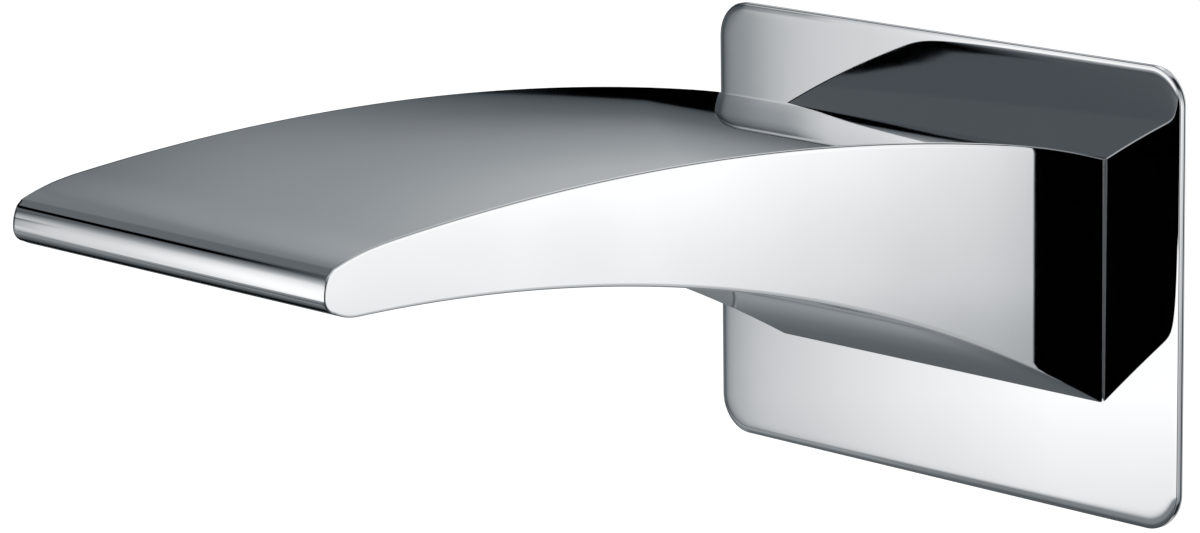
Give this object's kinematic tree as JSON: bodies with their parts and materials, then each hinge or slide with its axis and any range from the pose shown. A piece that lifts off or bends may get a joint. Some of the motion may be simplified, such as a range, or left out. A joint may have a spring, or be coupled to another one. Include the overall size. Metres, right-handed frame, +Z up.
{
  "type": "waterfall wall bath spout",
  "caption": "Fixed wall-mounted bath spout: a wide arched chrome body with a slot outlet under its flat nose, on a rectangular wall plate with a threaded inlet behind.",
  "frame": {"origin": "on the axis of the inlet thread, in the wall plane at the back of the wall plate", "axes": "+X to the right across the spout, +Y into the wall, +Z up; the spout reaches towards -Y"},
  "size_m": [0.1144, 0.1808, 0.0827],
  "materials": {
    "chrome_body": "mirror polished chrome plate on cast brass",
    "chrome_plate": "mirror polished chrome plate on brass sheet",
    "brass": "machined brass, unplated",
    "sheet_rubber": "black EPDM sheet",
    "grey_gasket": "grey fibre-filled rubber sheet",
    "foam": "closed-cell foam, dark grey",
    "stainless": "turned stainless steel",
    "stainless_sheet": "perforated stainless sheet",
    "white_plastic": "moulded acetal, natural white",
    "grey_plastic": "moulded acetal, grey"
  },
  "bodies": {
    "root": {"spout_body": "chrome_body", "wall_plate": "chrome_plate", "wall_gasket": "foam", "seat_gasket": "grey_gasket", "rear_manifold": "brass", "manifold_seal": "sheet_rubber", "manifold_screws": "stainless", "plate_screws": "stainless", "lock_washers": "stainless", "jet_diffuser": "white_plastic", "inlet_strainer": "stainless_sheet", "inlet_washer": "sheet_rubber", "outlet_seal": "sheet_rubber", "outlet_insert": "grey_plastic", "flow_screen": "stainless_sheet", "outlet_screws": "stainless"}
  },
  "joints": []
}
